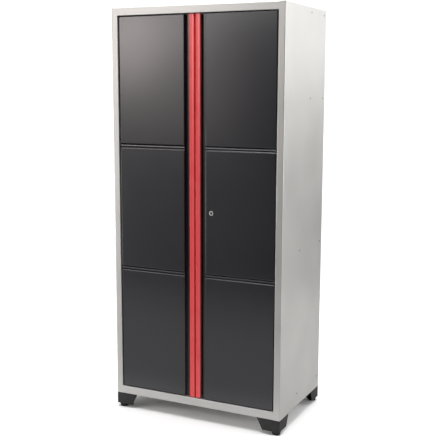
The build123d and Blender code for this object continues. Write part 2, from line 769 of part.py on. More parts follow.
# Doors, each with three folded panels on a boxed pan, a pull strip, bushes and a strike plate
third = door_height / door_panel_count
lower_groove = door_bottom + third + lower_groove_lift
upper_groove = door_top - third
panel_ends = (door_bottom, lower_groove, upper_groove, door_top)
panel_names = ("lower", "middle", "upper")
for name, hand in hands.items():
    panel_centre_x = hand * (channel_x + hinge_x) / 2
    panel_width = hinge_x - channel_x
    for i in range(door_panel_count):
        lowest = i == 0
        highest = i == door_panel_count - 1
        panel_bottom = panel_ends[i] + (0 if lowest else groove_height / 2)
        panel_top = panel_ends[i + 1] - (0 if highest else groove_height / 2)
        with BuildPart() as panel:
            with BuildSketch(across(door_face)):
                with Locations((panel_centre_x, (panel_bottom + panel_top) / 2)):
                    Rectangle(panel_width, panel_top - panel_bottom)
            extrude(amount=-panel_return)
            front_rim = panel.edges().group_by(Axis.Y)[0].sort_by(Axis.Z)
            if highest:
                fillet(front_rim, panel_bend)
            else:
                fillet(front_rim[-1], panel_roll)
                fillet(panel.edges().group_by(Axis.Y)[0].sort_by(Axis.Z)[:-1], panel_bend)
            offset(amount=-door_gauge, openings=panel.faces().sort_by(Axis.Y)[-1])
            inside_width = panel_width - 2 * door_gauge
            bottom_reach = panel_edge_return if lowest else panel_return - lap_gap - door_gauge
            cut_edges = [(panel_bottom + door_gauge / 2, bottom_reach)]
            if highest:
                cut_edges.append((panel_top - door_gauge / 2, panel_edge_return))
            for edge, reach in cut_edges:
                with BuildSketch(across(door_face + reach)):
                    with Locations((panel_centre_x, edge)):
                        Rectangle(inside_width, door_gauge)
                extrude(amount=-panel_return, mode=Mode.SUBTRACT)
            if not highest:
                with BuildSketch(Plane.YZ.offset(panel_centre_x)):
                    rib_low = panel_top + rib_foot + rib_slope_height
                    rib_top = rib_low + rib_height
                    lap = [
                        (door_face + panel_return, panel_top - door_gauge),
                        (door_face + panel_return, panel_top + rib_foot),
                        (door_face + rib_depth, rib_low),
                        (door_face + rib_depth + rib_lean, rib_top),
                        (door_face + panel_return, rib_top + rib_rise),
                        (door_face + panel_return, rib_top + rib_rise + lap_tuck),
                    ]
                    add(folded(lap, lap_bend, door_gauge))
                extrude(amount=inside_width / 2, both=True)
            if hand > 0 and not lowest and not highest:
                with BuildSketch(across(door_face)):
                    with Locations((lock_offset, middle_height)):
                        Circle(lock_barrel_radius + fastener_clearance)
                extrude(amount=-panel_return, mode=Mode.SUBTRACT)
        save(panel, f"{name}_{panel_names[i]}_panel")

    wall_front = door_face + panel_return + butt_gap
    pan_path = [
        (hinge_x, wall_front),
        (hinge_x, door_back),
        (pan_edge_x, door_back),
        (pan_edge_x, door_face + channel_depth),
        (channel_x, door_face + channel_depth),
        (channel_x, wall_front),
    ]
    cap_inset = door_gauge + butt_gap
    cap_front = door_face + panel_edge_return + butt_gap
    cap_outline = [(hinge_x - cap_inset, cap_front), (hinge_x - cap_inset, wall_front)]
    cap_outline += pan_path
    cap_outline += [(channel_x + cap_inset, wall_front), (channel_x + cap_inset, cap_front)]
    with BuildPart() as pan:
        with BuildSketch(Plane.XY.offset(door_bottom)):
            add(folded(handed(pan_path, hand), pan_bend, door_gauge))
        extrude(amount=door_height)
        for level in (door_bottom, door_top - door_gauge):
            with BuildSketch(Plane.XY.offset(level)):
                with BuildLine():
                    Polyline(*handed(cap_outline, hand), close=True)
                make_face()
                with Locations((hand * pivot_x, pivot_y)):
                    Circle(bush_radius + fastener_clearance, mode=Mode.SUBTRACT)
            extrude(amount=door_gauge)
        with BuildSketch(Plane.YZ.offset(hand * pan_edge_x)):
            with Locations(*[(pull_screw_y, z) for z in pull_screw_levels]):
                Circle(pull_screw_radius + fastener_clearance)
        extrude(amount=overrun, both=True, mode=Mode.SUBTRACT)
        if hand > 0:
            with BuildSketch(across(door_back)):
                with Locations((lock_offset, middle_height)):
                    Circle(lock_barrel_radius + fastener_clearance)
            extrude(amount=overrun, both=True, mode=Mode.SUBTRACT)
    save(pan, f"{name}_door_pan")

    with BuildPart() as pull:
        foot_back = door_face + channel_depth - seam
        inner_x = pull_x + pull_wall
        with BuildSketch(Plane.XY.offset(door_bottom)) as section:
            with BuildLine():
                dish_middle = ((pull_x + lip_x) / 2, door_face + pull_dish)
                rim = handed([(pull_x, door_face), dish_middle, (lip_x, door_face)], hand)
                ThreePointArc(*rim)
                outline = [
                    (lip_x, door_face),
                    (lip_x, door_face + pull_hook),
                    (lip_x - pull_hook_wall, door_face + pull_hook),
                    (lip_x - pull_hook_wall, door_face + pull_wall),
                    (inner_x, door_face + pull_wall),
                    (inner_x, foot_back - pull_foot_wall),
                    (inner_x + pull_foot_width, foot_back - pull_foot_wall),
                    (inner_x + pull_foot_width, foot_back),
                    (inner_x, foot_back),
                    (inner_x, door_back),
                    (pull_x, door_back),
                    (pull_x, door_face),
                ]
                Polyline(*handed(outline, hand))
            make_face()
            rims = section.vertices().group_by(Axis.Y)[0]
            fillet(rims, pull_edge)
            hook_ends = section.vertices().filter_by_position(
                Axis.Y, door_face + pull_hook - seam, door_face + pull_hook + seam
            )
            fillet(hook_ends, pull_inner_edge)
        extrude(amount=door_height)
        with BuildSketch(Plane.YZ.offset(hand * pull_x)):
            with Locations(*[(pull_screw_y, z) for z in pull_screw_levels]):
                Circle(pull_screw_radius + fastener_clearance)
        extrude(amount=hand * pull_wall, mode=Mode.SUBTRACT)
        with BuildSketch(Plane.YZ.offset(hand * pull_x)):
            with Locations(*[(pull_screw_y, z) for z in pull_screw_levels]):
                Circle(pull_screw_head_radius + fastener_clearance)
        extrude(amount=hand * pull_screw_head_height, mode=Mode.SUBTRACT)
    save(pull, f"{name}_pull")

    with BuildPart() as pull_screws:
        with BuildSketch(Plane.YZ.offset(hand * pull_x)):
            with Locations(*[(pull_screw_y, z) for z in pull_screw_levels]):
                Circle(pull_screw_head_radius)
        extrude(amount=hand * pull_screw_head_height)
        with BuildSketch(Plane.YZ.offset(hand * (pull_x + pull_screw_head_height))):
            with Locations(*[(pull_screw_y, z) for z in pull_screw_levels]):
                Circle(pull_screw_radius)
        extrude(amount=hand * pull_screw_reach)
    save(pull_screws, f"{name}_pull_screws")

    with BuildPart() as bushes:
        for seat, inward in ((door_top, -1), (door_bottom, 1)):
            for start, length, radius in (
                (seat, inward * bush_length, bush_radius),
                (seat, -inward * bush_flange_height, bush_flange_radius),
            ):
                with BuildSketch(Plane.XY.offset(start)):
                    with Locations((hand * pivot_x, pivot_y)):
                        Circle(radius)
                        Circle(pivot_radius + pivot_clearance, mode=Mode.SUBTRACT)
                extrude(amount=length)
    save(bushes, f"{name}_pivot_bushes")

    with BuildPart() as strike:
        with BuildSketch(across(door_back)):
            with Locations((hand * catch_offset, door_top - panel_bend - strike_height / 2)):
                Rectangle(strike_width, strike_height)
        extrude(amount=-strike_gauge)
    save(strike, f"{name}_strike")

# Lock: a flanged barrel through the right door, its nut, the key plug and the cam with two drive pins
lock_place = (lock_offset, middle_height)
with BuildPart() as lock_barrel:
    with BuildSketch(across(door_face)):
        with Locations(lock_place):
            Circle(lock_flange_radius)
    extrude(amount=lock_flange_height)
    chamfer(lock_barrel.edges().group_by(Axis.Y)[0], lock_flange_edge)
    with BuildSketch(across(door_face)):
        with Locations(lock_place):
            Circle(lock_barrel_radius)
    extrude(amount=door_face - nut_back - barrel_tail)
    with BuildSketch(across(nut_back + overrun)):
        with Locations(lock_place):
            Circle(plug_radius + plug_clearance)
    extrude(amount=door_thickness + lock_nut_height + 2 * overrun, mode=Mode.SUBTRACT)
save(lock_barrel, "lock_barrel")

with BuildPart() as lock_nut:
    with BuildSketch(across(door_back)):
        with Locations(lock_place):
            RegularPolygon(lock_nut_radius, side_count=6)
            Circle(lock_barrel_radius + fastener_clearance, mode=Mode.SUBTRACT)
    extrude(amount=-lock_nut_height)
save(lock_nut, "lock_nut")

with BuildPart() as lock_plug:
    with BuildSketch(across(cam_front)):
        with Locations(lock_place):
            Circle(plug_radius)
    extrude(amount=cam_front - door_face + lock_flange_height)
    with BuildSketch(across(door_face - lock_flange_height)):
        with Locations(lock_place):
            Rectangle(key_slot_width, key_slot_height)
    extrude(amount=-key_slot_depth, mode=Mode.SUBTRACT)
save(lock_plug, "lock_plug")

with BuildPart() as lock_cam:
    with BuildSketch(across(cam_front)):
        with Locations(lock_place):
            Circle(cam_radius)
    extrude(amount=-cam_gauge)
    with BuildSketch(across(cam_back)):
        with Locations(*[(lock_offset + up * pin_shift, middle_height + up * pin_drop) for up in (1, -1)]):
            Circle(cam_pin_radius)
    extrude(amount=-bar_gap - bar_gauge)
    with BuildSketch(across(cam_back)):
        with Locations(lock_place):
            RegularPolygon(cam_screw_radius, side_count=6)
    extrude(amount=-cam_screw_height)
save(lock_cam, "lock_cam")

# Locking bars: flat bars behind the right door, each driven by a cam pin in an open fork
fork_slot = 2 * (cam_pin_radius + fork_clearance)
fork_inner = cam_pin_circle + cam_pin_radius + fork_clearance
bar_outer = bar_offset + bar_width / 2
for name, up in (("upper", 1), ("lower", -1)):
    fork_z = middle_height + up * pin_drop
    tip_z = door_top + bar_tip if up > 0 else door_bottom - bar_tip
    foot_z = fork_z - up * (fork_slot / 2 + fork_prong)
    with BuildPart() as bar:
        with BuildSketch(across(bar_front)) as section:
            with Locations((lock_offset + up * bar_offset, (tip_z + foot_z) / 2)):
                Rectangle(bar_width, abs(tip_z - foot_z))
            with Locations((lock_offset + up * (fork_mouth + bar_outer) / 2, fork_z)):
                Rectangle(bar_outer - fork_mouth, fork_slot + 2 * fork_prong)
            with Locations((lock_offset + up * fork_inner / 2, fork_z)):
                Rectangle(fork_inner, fork_slot, mode=Mode.SUBTRACT)
            tip_corners = section.vertices().group_by(Axis.Y)[-1 if up > 0 else 0]
            chamfer(tip_corners, bar_tip_taper)
        extrude(amount=-bar_gauge)
    save(bar, f"{name}_lock_bar")

# Hand bolts: short flat bars with a thumb knob behind the left door, one at each end
for name, up in (("top", 1), ("bottom", -1)):
    tip_z = door_top + bar_tip if up > 0 else door_bottom - bar_tip
    bolt_middle = tip_z - up * bolt_length / 2
    with BuildPart() as bolt:
        with BuildSketch(across(bar_front)) as section:
            with Locations((-bolt_offset, bolt_middle)):
                Rectangle(bar_width, bolt_length)
            tip_corners = section.vertices().group_by(Axis.Y)[-1 if up > 0 else 0]
            chamfer(tip_corners, bar_tip_taper)
        extrude(amount=-bar_gauge)
        with BuildSketch(across(bar_back)):
            with Locations((-bolt_offset, bolt_middle)):
                Circle(knob_radius)
        extrude(amount=-knob_height)
        fillet(bolt.edges().group_by(Axis.Y)[-1], knob_edge)
    save(bolt, f"{name}_hand_bolt")

# Guide blocks on the door pans, each with a slot that a bar runs through
guide_slot_width = bar_width + 2 * guide_clearance
guide_slot_depth = bar_gauge + 2 * guide_clearance
guide_width = guide_slot_width + 2 * guide_wall
bolt_middles = (door_top + bar_tip - bolt_length / 2, door_bottom - bar_tip + bolt_length / 2)
guide_sets = {
    "lock_bar_guides": [
        (lock_offset + bar_offset, door_top - guide_end_inset),
        (lock_offset + bar_offset, middle_height + guide_lock_inset),
        (lock_offset - bar_offset, middle_height - guide_lock_inset),
        (lock_offset - bar_offset, door_bottom + guide_end_inset),
    ],
    "hand_bolt_guides": [
        (-bolt_offset, middle + side * bolt_guide_spacing / 2)
        for middle in bolt_middles
        for side in (-1, 1)
    ],
}
for node, places in guide_sets.items():
    with BuildPart() as guides:
        for x, z in places:
            with BuildSketch(Plane.XY.offset(z - guide_height / 2)):
                with Locations((x, (door_back + guide_back) / 2)):
                    Rectangle(guide_width, guide_back - door_back)
                with Locations((x, bar_y)):
                    Rectangle(guide_slot_width, guide_slot_depth, mode=Mode.SUBTRACT)
            extrude(amount=guide_height)
    save(guides, node)
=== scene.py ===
from math import cos, pi, radians, sin

import bmesh
import bpy
from mathutils import Matrix, Vector


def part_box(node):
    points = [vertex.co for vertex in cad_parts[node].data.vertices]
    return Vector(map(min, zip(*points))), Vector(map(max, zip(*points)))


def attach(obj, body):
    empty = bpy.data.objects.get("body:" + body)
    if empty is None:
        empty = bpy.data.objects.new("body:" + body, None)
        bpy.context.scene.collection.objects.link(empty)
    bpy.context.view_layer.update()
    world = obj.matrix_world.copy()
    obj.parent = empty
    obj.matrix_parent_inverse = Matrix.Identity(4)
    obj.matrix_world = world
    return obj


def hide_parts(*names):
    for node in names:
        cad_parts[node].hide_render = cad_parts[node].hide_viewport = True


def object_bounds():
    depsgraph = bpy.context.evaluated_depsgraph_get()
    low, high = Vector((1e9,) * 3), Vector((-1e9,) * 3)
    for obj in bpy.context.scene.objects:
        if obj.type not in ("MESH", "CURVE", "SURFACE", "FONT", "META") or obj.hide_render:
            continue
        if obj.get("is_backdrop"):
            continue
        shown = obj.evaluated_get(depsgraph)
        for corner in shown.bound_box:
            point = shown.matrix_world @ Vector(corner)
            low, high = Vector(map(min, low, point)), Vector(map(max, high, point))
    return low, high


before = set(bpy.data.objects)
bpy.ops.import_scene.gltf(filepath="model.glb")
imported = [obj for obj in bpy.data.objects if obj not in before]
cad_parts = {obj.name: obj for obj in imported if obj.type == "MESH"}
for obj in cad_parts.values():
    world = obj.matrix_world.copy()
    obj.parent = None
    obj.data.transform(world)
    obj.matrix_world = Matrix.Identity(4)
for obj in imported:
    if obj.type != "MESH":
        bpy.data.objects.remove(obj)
cad_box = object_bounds()

# Body sheets: two sides folded round the front corners, the top, the floor, the back and the shelves.
# Cold-rolled steel, bent on a press brake and riveted together,
# finished in a silver powder coat with fine metal flake.
noise_low = 0.3
noise_high = 0.7


def new_finish(name, metallic=0.0):
    """A fresh finish and its shader."""
    finish = bpy.data.materials.new(name)
    finish.use_nodes = True
    shader = finish.node_tree.nodes["Principled BSDF"]
    shader.inputs["Metallic"].default_value = metallic
    return finish, shader


def cloud(finish, size, detail=2.0, stretch=(1, 1, 1)):
    """Soft noise in blotches of about that size, drawn out along the axes by stretch."""
    nodes = finish.node_tree.nodes
    links = finish.node_tree.links
    place = nodes.new("ShaderNodeTexCoord")
    mapping = nodes.new("ShaderNodeMapping")
    mapping.inputs["Scale"].default_value = [1 / (size * longer) for longer in stretch]
    noise = nodes.new("ShaderNodeTexNoise")
    noise.inputs["Scale"].default_value = 1
    noise.inputs["Detail"].default_value = detail
    links.new(place.outputs["Object"], mapping.inputs["Vector"])
    links.new(mapping.outputs["Vector"], noise.inputs["Vector"])
    return noise.outputs["Fac"]


def mingle(finish, first, second, share):
    """Two patterns in one, the second with the given share."""
    mix = finish.node_tree.nodes.new("ShaderNodeMix")
    mix.inputs["Factor"].default_value = share
    finish.node_tree.links.new(first, mix.inputs["A"])
    finish.node_tree.links.new(second, mix.inputs["B"])
    return mix.outputs["Result"]


def tint(finish, pattern, dark, light, shader):
    """Lets a pattern lead the colour between two colours."""
    ramp = finish.node_tree.nodes.new("ShaderNodeValToRGB")
    for stop, at, colour in zip(ramp.color_ramp.elements, (noise_low, noise_high), (dark, light)):
        stop.position = at
        stop.color = (*colour, 1)
    finish.node_tree.links.new(pattern, ramp.inputs["Fac"])
    finish.node_tree.links.new(ramp.outputs["Color"], shader.inputs["Base Color"])


def roughen(finish, pattern, limits, shader):
    """Lets a pattern lead the roughness between two limits."""
    spread = finish.node_tree.nodes.new("ShaderNodeMapRange")
    names = ("From Min", "From Max", "To Min", "To Max")
    for name, value in zip(names, (noise_low, noise_high, *limits)):
        spread.inputs[name].default_value = value
    finish.node_tree.links.new(pattern, spread.inputs["Value"])
    finish.node_tree.links.new(spread.outputs["Result"], shader.inputs["Roughness"])


def relief(finish, pattern, depth, shader):
    """Raises the surface by a pattern, on top of any relief that it has."""
    bump = finish.node_tree.nodes.new("ShaderNodeBump")
    bump.inputs["Distance"].default_value = depth
    for link in shader.inputs["Normal"].links:
        finish.node_tree.links.new(link.from_socket, bump.inputs["Normal"])
    finish.node_tree.links.new(pattern, bump.inputs["Height"])
    finish.node_tree.links.new(bump.outputs["Normal"], shader.inputs["Normal"])


def wear(finish, *names):
    """Gives a finish to CAD nodes."""
    for name in names:
        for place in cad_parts[name].material_slots:
            place.material = finish


silver_dark = (0.605, 0.597, 0.58)
silver_light = (0.705, 0.696, 0.675)
silver_roughness = (0.42, 0.47)
silver_metallic = 0.8
flake_size = 0.0009
flake_depth = 0.00002
flake_share = 0.6
silver_peel_size = 0.004
silver_peel_depth = 0.00003
silver_drift_size = 0.22
silver_coat, shader = new_finish("silver_coat", silver_metallic)
flake = cloud(silver_coat, flake_size, detail=3)
drift = cloud(silver_coat, silver_drift_size)
peel = cloud(silver_coat, silver_peel_size)
flaked = mingle(silver_coat, drift, flake, flake_share)
tint(silver_coat, flaked, silver_dark, silver_light, shader)
roughen(silver_coat, flaked, silver_roughness, shader)
relief(silver_coat, flake, flake_depth, shader)
relief(silver_coat, peel, silver_peel_depth, shader)
wear(silver_coat, "left_side", "right_side", "top_panel", "floor_panel", "back_panel")
wear(silver_coat, "upper_fixed_shelf", "middle_fixed_shelf")
wear(silver_coat, "upper_adjustable_shelf", "lower_adjustable_shelf")

# Slotted strips: flat steel strips inside the sides, punched with a column of slots.
# Zinc plated after punching, held by the side rivets at both ends.
zinc_blue = (0.58, 0.60, 0.63)
zinc_warm = (0.74, 0.74, 0.71)
zinc_roughness = (0.24, 0.42)
bloom_size = 0.018
draw_line_width = 0.0008
draw_line_stretch = (1, 1, 12)
draw_line_depth = 0.00001
draw_line_share = 0.5
zinc_plate, shader = new_finish("zinc_plate", metallic=1.0)
bloom = cloud(zinc_plate, bloom_size, detail=4)
draw_lines = cloud(zinc_plate, draw_line_width, stretch=draw_line_stretch)
tint(zinc_plate, bloom, zinc_blue, zinc_warm, shader)
roughen(zinc_plate, mingle(zinc_plate, bloom, draw_lines, draw_line_share), zinc_roughness, shader)
relief(zinc_plate, draw_lines, draw_line_depth, shader)
wear(zinc_plate, "upper_shelf_strips", "lower_shelf_strips")

# Shelf clips: small folded brackets hooked into the strips, two to a side under each loose shelf.
# Zinc-plated spring steel with edges rounded by tumbling.
weld = 0.000002
flat_angle = radians(1)
sharp_angle = radians(40)
smooth_angle = radians(35)


def softened(node, name, width, steps=2):
    """A copy of a node's mesh, welded into whole faces, with its sharp edges rounded."""
    bpy.ops.object.select_all(action="DESELECT")
    piece = bpy.data.objects.new(name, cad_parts[node].data.copy())
    bpy.context.collection.objects.link(piece)
    piece.select_set(True)
    bpy.context.view_layer.objects.active = piece
    bpy.ops.mesh.customdata_custom_splitnormals_clear()
    bpy.ops.object.mode_set(mode="EDIT")
    bpy.ops.mesh.select_all(action="SELECT")
    bpy.ops.mesh.remove_doubles(threshold=weld)
    bpy.ops.mesh.dissolve_limited(angle_limit=flat_angle)
    bpy.ops.object.mode_set(mode="OBJECT")
    bpy.ops.object.modifier_add(type="BEVEL")
    bevel = piece.modifiers[-1]
    bevel.width = width
    bevel.segments = steps
    bevel.limit_method = "ANGLE"
    bevel.angle_limit = sharp_angle
    bpy.ops.object.modifier_apply(modifier=bevel.name)
    bpy.ops.object.shade_smooth_by_angle(angle=smooth_angle)
    return piece


def fit(piece, finish, slot, body, *nodes):
    """Finishes a piece, hangs it on its body and lets it stand for CAD nodes."""
    piece.data.materials.clear()
    piece.data.materials.append(finish)
    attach(piece, body)
    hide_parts(*nodes)


clip_edge = 0.0003
for node in ("upper_shelf_clips", "lower_shelf_clips"):
    clips = softened(node, f"tumbled_{node}", clip_edge)
    fit(clips, zinc_plate, "zinc_plate", "cabinet", node)

# Side rivets: blind rivets through the side sheets, the shelf flanges and the strips behind them.
# Dull phosphated steel, set from outside, with a low domed head and the broken mandrel in its middle;
# their dark grey is partly painted shade for the dark dots that the heads make on the sides.


def solid_boxes(node):
    """Lowest and highest corner of every separate solid of a node, in a steady order."""
    shell = bmesh.new()
    shell.from_mesh(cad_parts[node].data)
    bmesh.ops.remove_doubles(shell, verts=shell.verts, dist=weld)
    waiting = set(shell.verts)
    boxes = []
    while waiting:
        reached = [waiting.pop()]
        for vert in reached:
            beside = {edge.other_vert(vert) for edge in vert.link_edges} & waiting
            waiting -= beside
            reached.extend(beside)
        spans = [sorted(vert.co[axis] for vert in reached) for axis in range(3)]
        boxes.append((Vector([span[0] for span in spans]), Vector([span[-1] for span in spans])))
    shell.free()
    return sorted(boxes, key=lambda box: [round(value, 4) for value in box[0]])


def turned(name, sides, profile, bored=False):
    """A round piece about Z: a disc drawn out, in and up along a profile of radius and level.

    A bored piece starts as a bare ring, and its profile comes back to where it began.
    """
    bpy.ops.object.select_all(action="DESELECT")
    radius, level = profile[0]
    fill = "NOTHING" if bored else "NGON"
    bpy.ops.mesh.primitive_circle_add(vertices=sides, radius=radius, fill_type=fill)
    piece = bpy.context.object
    piece.name = name
    bpy.ops.object.mode_set(mode="EDIT")
    bpy.ops.mesh.select_all(action="SELECT")
    bpy.ops.transform.translate(value=(0, 0, level))
    for next_radius, next_level in profile[1:]:
        bpy.ops.mesh.extrude_region_move(TRANSFORM_OT_translate={"value": (0, 0, next_level - level)})
        share = next_radius / radius
        bpy.ops.transform.resize(value=(share, share, 1), center_override=(0, 0, next_level))
        radius, level = next_radius, next_level
    bpy.ops.mesh.select_all(action="SELECT")
    bpy.ops.mesh.remove_doubles(threshold=weld)
    bpy.ops.mesh.normals_make_consistent(inside=False)
    bpy.ops.object.mode_set(mode="OBJECT")
    bpy.ops.object.shade_smooth_by_angle(angle=smooth_angle)
    return piece


def rings(shares, radius, height, seat=0):
    """Rings of a profile, given as shares of a radius and of a height above a seat."""
    return [(wide * radius, seat + tall * height) for wide, tall in shares]


def set_out(model, name, places):
    """One piece made of a copy of the model at every place; the model itself is deleted."""
    bpy.ops.object.select_all(action="DESELECT")
    for place in places:
        mesh = model.data.copy()
        mesh.transform(place)
        copy = bpy.data.objects.new(name, mesh)
        bpy.context.collection.objects.link(copy)
        copy.select_set(True)
        bpy.context.view_layer.objects.active = copy
    bpy.data.objects.remove(model)
    bpy.ops.object.join()
    piece = bpy.context.object
    piece.name = name
    return piece


rivet_head_radius = 0.0045
rivet_head_height = 0.0008
rivet_head_shares = ((1, 0), (1, 0.2), (0.85, 0.65), (0.6, 0.95))
rivet_shank_radius = 0.0024
rivet_tail_radius = 0.0036
rivet_tail_height = 0.0010
rivet_tail_shares = ((0.8, 0.15), (1, 0.5), (1, 0.8))
mandrel_radius = 0.0012
mandrel_sink = 0.0004
mandrel_mouth_share = 1.25
rivet_boxes = solid_boxes("side_rivets")
rivet_low, rivet_high = rivet_boxes[0]
rivet_length = rivet_high.x - rivet_low.x
rivet_seat = rivet_length - rivet_head_height
rivet = turned("rivet", 24, [
    (mandrel_radius, 0),
    *rings(rivet_tail_shares, rivet_tail_radius, rivet_tail_height),
    (rivet_shank_radius, rivet_tail_height),
    (rivet_shank_radius, rivet_seat),
    *rings(rivet_head_shares, rivet_head_radius, rivet_head_height, rivet_seat),
    (mandrel_mouth_share * mandrel_radius, rivet_length),
    (mandrel_radius, rivet_length - mandrel_sink),
])
# Rivet steel colours: dark grey, partly painted shade for the dark dots of the rivet heads on the sides.
steel_and_shade_dark = (0.10, 0.10, 0.105)
steel_and_shade_light = (0.20, 0.20, 0.205)
steel_roughness = (0.4, 0.55)
scuff_size = 0.0008
scuff_depth = 0.00002
dull_steel_and_painted_shade, shader = new_finish("dull_steel_and_painted_shade", metallic=1.0)
scuff = cloud(dull_steel_and_painted_shade, scuff_size, detail=3)
tint(dull_steel_and_painted_shade, scuff, steel_and_shade_dark, steel_and_shade_light, shader)
roughen(dull_steel_and_painted_shade, scuff, steel_roughness, shader)
relief(dull_steel_and_painted_shade, scuff, scuff_depth, shader)
rivet_places = []
for low, high in rivet_boxes:
    middle = (low + high) / 2
    side = 1 if middle.x > 0 else -1
    tail = Vector((middle.x - side * rivet_length / 2, middle.y, middle.z))
    rivet_places.append(Matrix.Translation(tail) @ Matrix.Rotation(side * radians(90), 4, "Y"))
fit(set_out(rivet, "blind_rivets", rivet_places), dull_steel_and_painted_shade, "zinc_plate", "cabinet", "side_rivets")

# Back screws: short pan-head screws that hold the back sheet to the rear flanges.
# Zinc-plated steel with a cross recess, driven from inside the cabinet.
pan_head_shares = ((1, 0), (1, 0.35), (0.93, 0.68), (0.78, 0.9), (0.55, 1))
screw_tip_share = 0.7
screw_taper_share = 0.3
recess_reach_share = 0.5
recess_depth_share = 0.55
blade_width_share = 0.25
blade_point_share = 0.4


def carve(piece, tool, how="DIFFERENCE"):
    """Takes a tool's shape from a piece, or adds it or keeps the overlap, and deletes the tool."""
    bpy.ops.object.select_all(action="DESELECT")
    bpy.context.view_layer.objects.active = piece
    piece.select_set(True)
    bpy.ops.object.modifier_add(type="BOOLEAN")
    cut = piece.modifiers[-1]
    cut.operation = how
    cut.object = tool
    bpy.ops.object.modifier_apply(modifier=cut.name)
    bpy.data.objects.remove(tool)


def cross_recess(screw, reach, level, depth):
    """Sinks two tapered blades, crossed, into the top of a screw."""
    for turn in (0, radians(90)):
        bpy.ops.object.select_all(action="DESELECT")
        bpy.ops.mesh.primitive_cube_add(size=2)
        blade = bpy.context.object
        blade.scale = (reach, blade_width_share * reach, depth)
        blade.rotation_euler.z = turn
        blade.location.z = level
        bpy.ops.object.transform_apply()
        bpy.ops.object.mode_set(mode="EDIT")
        bpy.ops.mesh.select_all(action="DESELECT")
        bpy.ops.object.mode_set(mode="OBJECT")
        for vert in blade.data.vertices:
            vert.select = vert.co.z < level
        bpy.ops.object.mode_set(mode="EDIT")
        point = (blade_point_share, blade_point_share, 1)
        bpy.ops.transform.resize(value=point, center_override=(0, 0, level - depth))
        bpy.ops.object.mode_set(mode="OBJECT")
        carve(screw, blade)


def pan_screw(name, shank_radius, reach, head_radius, head_height):
    """A cross-recessed screw with a low rounded head; its seat is at level 0 and its head points up."""
    screw = turned(name, 20, [
        (screw_tip_share * shank_radius, -reach),
        (shank_radius, -reach + screw_taper_share * shank_radius),
        (shank_radius, 0),
        *rings(pan_head_shares, head_radius, head_height),
    ])
    cross_recess(screw, recess_reach_share * head_radius, head_height, recess_depth_share * head_height)
    return screw


back_screw_radius = 0.002
back_head_radius = 0.004
back_head_height = 0.002
screw_boxes = solid_boxes("back_screws")
screw_low, screw_high = screw_boxes[0]
back_screw_reach = screw_high.y - screw_low.y - back_head_height
facing_front = Matrix.Rotation(radians(90), 4, "X")
screw_places = []
for low, high in screw_boxes:
    seat = Vector(((low.x + high.x) / 2, low.y + back_head_height, (low.z + high.z) / 2))
    screw_places.append(Matrix.Translation(seat) @ facing_front)
back_screw = pan_screw(
    "back_screw", back_screw_radius, back_screw_reach, back_head_radius, back_head_height
)
back_screws = set_out(back_screw, "pan_back_screws", screw_places)
fit(back_screws, zinc_plate, "zinc_plate", "cabinet", "back_screws")

# Corner legs: heavy folded brackets with two trapezoid walls, a flange on top and a foot plate below.
# Steel in a coarse black texture coat, bolted under the corners of the floor pan.
leg_black = (0.006, 0.006, 0.0065)
leg_grey = (0.024, 0.024, 0.025)
leg_roughness = (0.42, 0.62)
speckle_size = 0.0024
speckle_depth = 0.0004
speckle_share = 0.75
leg_drift_size = 0.03
leg_edge = 0.0006
black_texture, shader = new_finish("black_texture")
speckle = cloud(black_texture, speckle_size, detail=4)
drift = cloud(black_texture, leg_drift_size)
tint(black_texture, mingle(black_texture, drift, speckle, speckle_share), leg_black, leg_grey, shader)
roughen(black_texture, speckle, leg_roughness, shader)
relief(black_texture, speckle, speckle_depth, shader)
corners = [f"{end}_{hand}" for end in ("front", "rear") for hand in ("left", "right")]
for corner in corners:
    leg = softened(f"{corner}_leg", f"{corner}_bracket", leg_edge)
    fit(leg, black_texture, "black_texture", "cabinet", f"{corner}_leg")

# Leg bolts: hexagon bolts up through the leg flanges, with nuts inside the floor pan, two to a corner.
# Zinc-plated steel; head and nut have the usual turned chamfer.
hexagon_flat_share = 0.87
hexagon_clear_share = 1.1
hexagon_slope_share = 0.3


def hexagon(name, radius, low, high, chamfer_low, chamfer_high):
    """A hexagon prism between two levels, with its corners turned off at one end or both."""
    prism = turned(name, 6, [(radius, low), (radius, high)])
    flat = hexagon_flat_share * radius
    clear = hexagon_clear_share * radius
    slope = hexagon_slope_share * radius
    lens = turned("lens", 48, [
        (flat if chamfer_low else clear, low),
        (clear, low + slope),
        (clear, high - slope),
        (flat if chamfer_high else clear, high),
    ])
    carve(prism, lens, "INTERSECT")
    return prism


bolt_radius = 0.003
bolt_hex_radius = 0.0058
bolt_head_height = 0.004
bolt_nut_height = 0.005
bolt_tip_share = 0.8
bolt_taper_share = 0.2
bolt_smooth_angle = radians(25)
nut_top_share = 0.999
bolt_boxes = solid_boxes("leg_bolts")
bolt_low, bolt_high = bolt_boxes[0]
bolt_length = bolt_high.z - bolt_low.z
nut_seat = bolt_length - bolt_nut_height
nut_top = nut_top_share * bolt_length
leg_bolt = hexagon("leg_bolt", bolt_hex_radius, 0, bolt_head_height, True, False)
shank = turned("shank", 24, [
    (bolt_radius, bolt_head_height / 2),
    (bolt_radius, bolt_length - bolt_taper_share * bolt_radius),
    (bolt_tip_share * bolt_radius, bolt_length),
])
carve(leg_bolt, shank, "UNION")
carve(leg_bolt, hexagon("nut", bolt_hex_radius, nut_seat, nut_top, True, True), "UNION")
bpy.context.view_layer.objects.active = leg_bolt
leg_bolt.select_set(True)
bpy.ops.object.shade_smooth_by_angle(angle=bolt_smooth_angle)
bolt_places = []
for low, high in bolt_boxes:
    bolt_places.append(Matrix.Translation(((low.x + high.x) / 2, (low.y + high.y) / 2, low.z)))
fit(set_out(leg_bolt, "hex_leg_bolts", bolt_places), zinc_plate, "zinc_plate", "cabinet", "leg_bolts")

